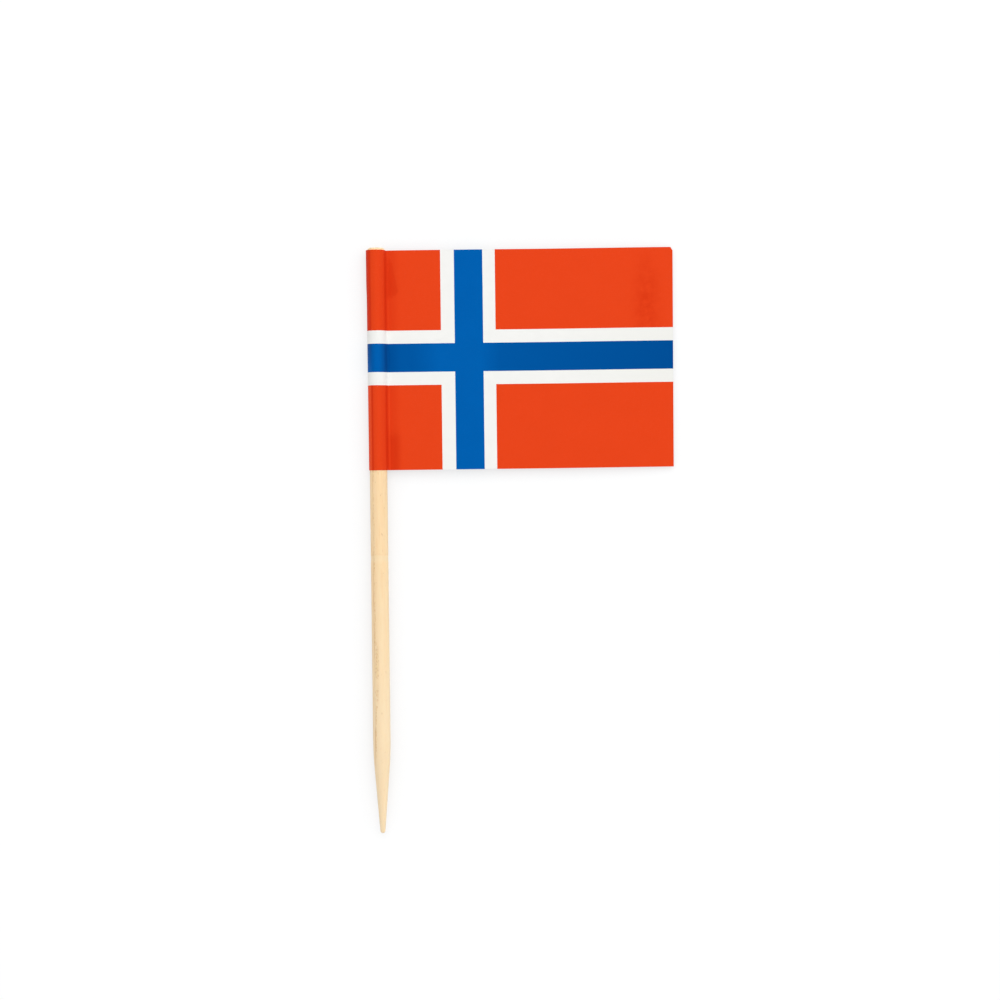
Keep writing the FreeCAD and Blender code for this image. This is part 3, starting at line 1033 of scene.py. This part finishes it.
torn = torn_spots(0.13, 0.28, 0.38, 0.52, 0.6)
fuzz = torn_spots(0.12, 0.30, 0.40, 0.50, 0.9)
pale_here = add_node(tree, "ShaderNodeMapRange", {"Value": torn_more, "To Min": 0.5})
fuzz = where_all(tree, fuzz, pale_here)
print("grain and torn fibres of", len(tree.nodes), "nodes")

# %% [markdown]
# ### Rubbed fibres and the pinched ring
# On the flat itself two fibres are rubbed dark, off and on along the pick. The pinched ring has
# crushed, paler fibres, and a thin broken dark line along its upper border.

# %% Birch: rubbed fibres
RUBBED_FIBRES = ((-0.71, 0.07, 0.6), (-0.93, 0.05, 0.15))


def rubbed_fibre(reach, half_width_mm, strength):
    """One dark fibre along the pick, at a reach from its axis."""
    beside = {0: across_pick, 1: (AXIS_X + reach) * MM}
    beside = add_node(tree, "ShaderNodeMath", beside, operation="SUBTRACT")
    beside = add_node(tree, "ShaderNodeMath", {0: beside}, operation="ABSOLUTE")
    values = {"Value": beside, "From Max": half_width_mm * MM, "To Min": strength, "To Max": 0.0}
    dark = add_node(tree, "ShaderNodeMapRange", values)
    off_and_on = wood_patches(0.5, 2.5, 0.4, 0.6, least=0.2)
    return where_all(tree, dark, upper_side, off_cone, off_and_on)


rubbed = [rubbed_fibre(*fibre) for fibre in RUBBED_FIBRES]
print(len(rubbed), "rubbed fibres")

# %% Birch: the pinched ring
RING_RAGS = 0.25 * MM
RING_HALF = PINCH_LENGTH / 2 * MM
RING_FADE = 0.1 * MM
LINE_ABOVE_RING = 0.2 * MM
LINE_HALF_WIDTH = 0.12 * MM

from_pinch = {0: along_pick, 1: pinch_middle * MM}
from_pinch = add_node(tree, "ShaderNodeMath", from_pinch, operation="SUBTRACT")
from_pinch = {0: wood_noise(0.3, 3.0), 1: RING_RAGS, 2: from_pinch}
from_pinch = add_node(tree, "ShaderNodeMath", from_pinch, operation="MULTIPLY_ADD")
values = {"From Min": RING_HALF, "From Max": RING_HALF + RING_FADE, "To Min": 1.0, "To Max": 0.0}
crushed = add_node(tree, "ShaderNodeMapRange", {"Value": from_pinch, **values})
values = {"Value": from_pinch, "From Min": -RING_HALF, "From Max": 0.0, "To Max": 0.4}
crushed_end = add_node(tree, "ShaderNodeMapRange", values)
in_ring = where_all(tree, crushed, crushed_end)
to_line = {0: from_pinch, 1: RING_HALF + LINE_ABOVE_RING}
to_line = add_node(tree, "ShaderNodeMath", to_line, operation="SUBTRACT")
to_line = add_node(tree, "ShaderNodeMath", {0: to_line}, operation="ABSOLUTE")
values = {"Value": to_line, "From Max": LINE_HALF_WIDTH, "To Min": 0.15, "To Max": 0.0}
on_line = add_node(tree, "ShaderNodeMapRange", values)
on_line = where_all(tree, on_line, wood_patches(0.5, 3.0, 0.4, 0.6, least=0.1))
print(f"ring at y {pinch_middle:.2f} mm")

# %% [markdown]
# ### Colours and relief
# The masks now lay their colours one over another. The grain stands up by a hundredth of a
# millimetre, and the torn fibres by about two. Light goes a little way into pale wood, which a weak
# subsurface scattering gives.

# %% Birch: colours over one another
GRAIN_RELIEF = 0.012
TORN_RELIEF = 0.018

tone = layered(
    tree,
    linear("#ffdbac"),
    (streaked, "#ffe0b4"),
    (dark_fibres, "#f9d09a"),
    (in_pore, "#c79a63"),
    (paler_point, "#ffe8c6"),
    (torn, "#dba76c"),
    (fuzz, "#ffe0b0"),
    (rubbed[0], "#cf9c5e"),
    (rubbed[1], "#cf9c5e"),
    (in_ring, "#ffe6bf"),
    (on_line, "#dcab6c"),
)
relief = add_node(tree, "ShaderNodeMath", {0: fibres, 1: in_pore}, operation="SUBTRACT")
grain_bump = add_node(tree, "ShaderNodeBump", {"Height": relief, "Distance": GRAIN_RELIEF * MM})
tufts = add_node(tree, "ShaderNodeMath", {0: fuzz, 1: torn}, operation="SUBTRACT")
tuft_bump = {"Height": tufts, "Distance": TORN_RELIEF * MM, "Normal": grain_bump}
values = {"Value": fibres, "From Min": 0.3, "From Max": 0.7, "To Min": 0.55, "To Max": 0.7}
wood = {
    "Base Color": tone,
    "Roughness": add_node(tree, "ShaderNodeMapRange", values),
    "Normal": add_node(tree, "ShaderNodeBump", tuft_bump),
    "Specular IOR Level": 0.3,
    "Subsurface Weight": 0.3,
    "Subsurface Scale": 0.15 * MM,
    "Subsurface Radius": (1.0, 0.9, 0.75),
}
end_material(wood_material, wood)
pick = finished_piece("pick", mesh, wood_material, "wood", "toothpick")

# %% [markdown]

# %% [markdown]
# ## Table
# The photograph has a white table with a pale, soft, grey shadow close round the object. A real white
# table comes out greyer, and it takes on the colours of the wood and the ink. So for rays that show
# the table itself, its material is mostly a plain glow of white, which is a little weaker close to
# the object, where less of the sky reaches the table. The rest is the real table with its cast
# shadow, and that table alone lights the object.

# %% Table
FLOOR_HALF_WIDTH = 1.5
GLOW_SHARE = 0.75
GLOW_LEVEL = 1.064
SHADOW_REACH = 3.0
SHADOW_DEPTH = 0.22

mesh = bmesh.new()
bmesh.ops.create_grid(mesh, x_segments=4, y_segments=4, size=FLOOR_HALF_WIDTH)
floor_data = bpy.data.meshes.new("floor")
mesh.to_mesh(floor_data)
mesh.free()
floor = bpy.data.objects.new("floor", floor_data)
bpy.context.scene.collection.objects.link(floor)
floor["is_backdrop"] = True


def seen_directly(tree):
    """1 for rays that show the surface itself or its reflection, 0 for rays that only carry light."""
    rays = add_node(tree, "ShaderNodeLightPath").outputs
    seen = rays["Is Camera Ray"]
    for kind in ("Is Glossy Ray", "Is Transmission Ray"):
        seen = add_node(tree, "ShaderNodeMath", {0: seen, 1: rays[kind]}, operation="MAXIMUM")
    return seen


floor_material, tree = new_material("white_table")
surface = add_node(tree, "ShaderNodeBsdfDiffuse", {"Color": linear("#f4f4f4")})
share = where_all(tree, seen_directly(tree), GLOW_SHARE)
sky = {"Distance": SHADOW_REACH * MM}
sky = add_node(tree, "ShaderNodeAmbientOcclusion", sky, samples=6).outputs["AO"]
level = {"Value": sky, "To Min": GLOW_LEVEL * (1 - SHADOW_DEPTH), "To Max": GLOW_LEVEL}
level = add_node(tree, "ShaderNodeMapRange", level)
glow = add_node(tree, "ShaderNodeEmission", {"Color": (0.99, 0.995, 1, 1), "Strength": level})
table = add_node(tree, "ShaderNodeMixShader", {0: share, 1: surface, 2: glow})
add_node(tree, "ShaderNodeOutputMaterial", {"Surface": table})
floor_data.materials.append(floor_material)
print(f"table {2 * FLOOR_HALF_WIDTH:.0f} m wide")

# %% [markdown]
# ## Light
# The picture has broad soft light from above, nearly even from all sides, and short soft shadows. So
# the world gives more than half of the light, one large lamp hangs overhead and leans towards the top
# of the picture, and a weak one stands at the right. Their sum on the table is about 1, at which a
# colour renders about as it is written.

# %% World and lamps
WORLD_LEVEL = 0.565

world = bpy.data.worlds.new("studio")
bpy.context.scene.world = world
world.use_nodes = True
tree = world.node_tree
tree.nodes.clear()
level = add_node(tree, "ShaderNodeMapRange", {"Value": seen_directly(tree), "To Min": WORLD_LEVEL})
sky = add_node(tree, "ShaderNodeBackground", {"Color": (1, 1, 1, 1), "Strength": level})
add_node(tree, "ShaderNodeOutputWorld", {"Surface": sky})


def soft_lamp(name, azimuth, from_vertical, distance, size, level):
    """A square lamp aimed at the object. Its level is the light that it gives a surface facing it."""
    lamp = bpy.data.lights.new(name, "AREA")
    lamp.size = size
    half_seen = size / 2 / distance
    lean = half_seen / math.hypot(1, half_seen)
    share_of_view = 4 / math.pi * lean * math.atan(lean)
    lamp.energy = level * math.pi * size**2 / share_of_view
    holder = bpy.data.objects.new(name, lamp)
    tilt = math.radians(from_vertical)
    turn = math.radians(azimuth)
    away = Vector((math.sin(tilt) * math.cos(turn), math.sin(tilt) * math.sin(turn), math.cos(tilt)))
    holder.location = away * distance
    holder.rotation_euler = away.to_track_quat("Z", "Y").to_euler()
    bpy.context.scene.collection.objects.link(holder)
    print(f"{name}: {lamp.energy:.2f} W")


# The azimuth is from the picture's right towards its top.
soft_lamp("overhead_lamp", 78, 27, 0.6, 0.6, 0.44)
soft_lamp("right_lamp", 5, 64, 0.8, 0.6, 0.09)
bpy.context.scene.view_settings.view_transform = "Standard"

# %% [markdown]
# ## Sizes and the last line
# Both boxes, the CAD model's and the dressed model's, are printed in millimetres. The dressed
# model has to stay inside the CAD model's box.

# %% Print the sizes and finish
dressed_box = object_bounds()
sizes = {
    "cad": [list(corner) for corner in cad_box],
    "dressed": [list(corner) for corner in dressed_box],
}
for name, (low, high) in sizes.items():
    print(name, [round(value / MM, 3) for value in low], [round(value / MM, 3) for value in high])
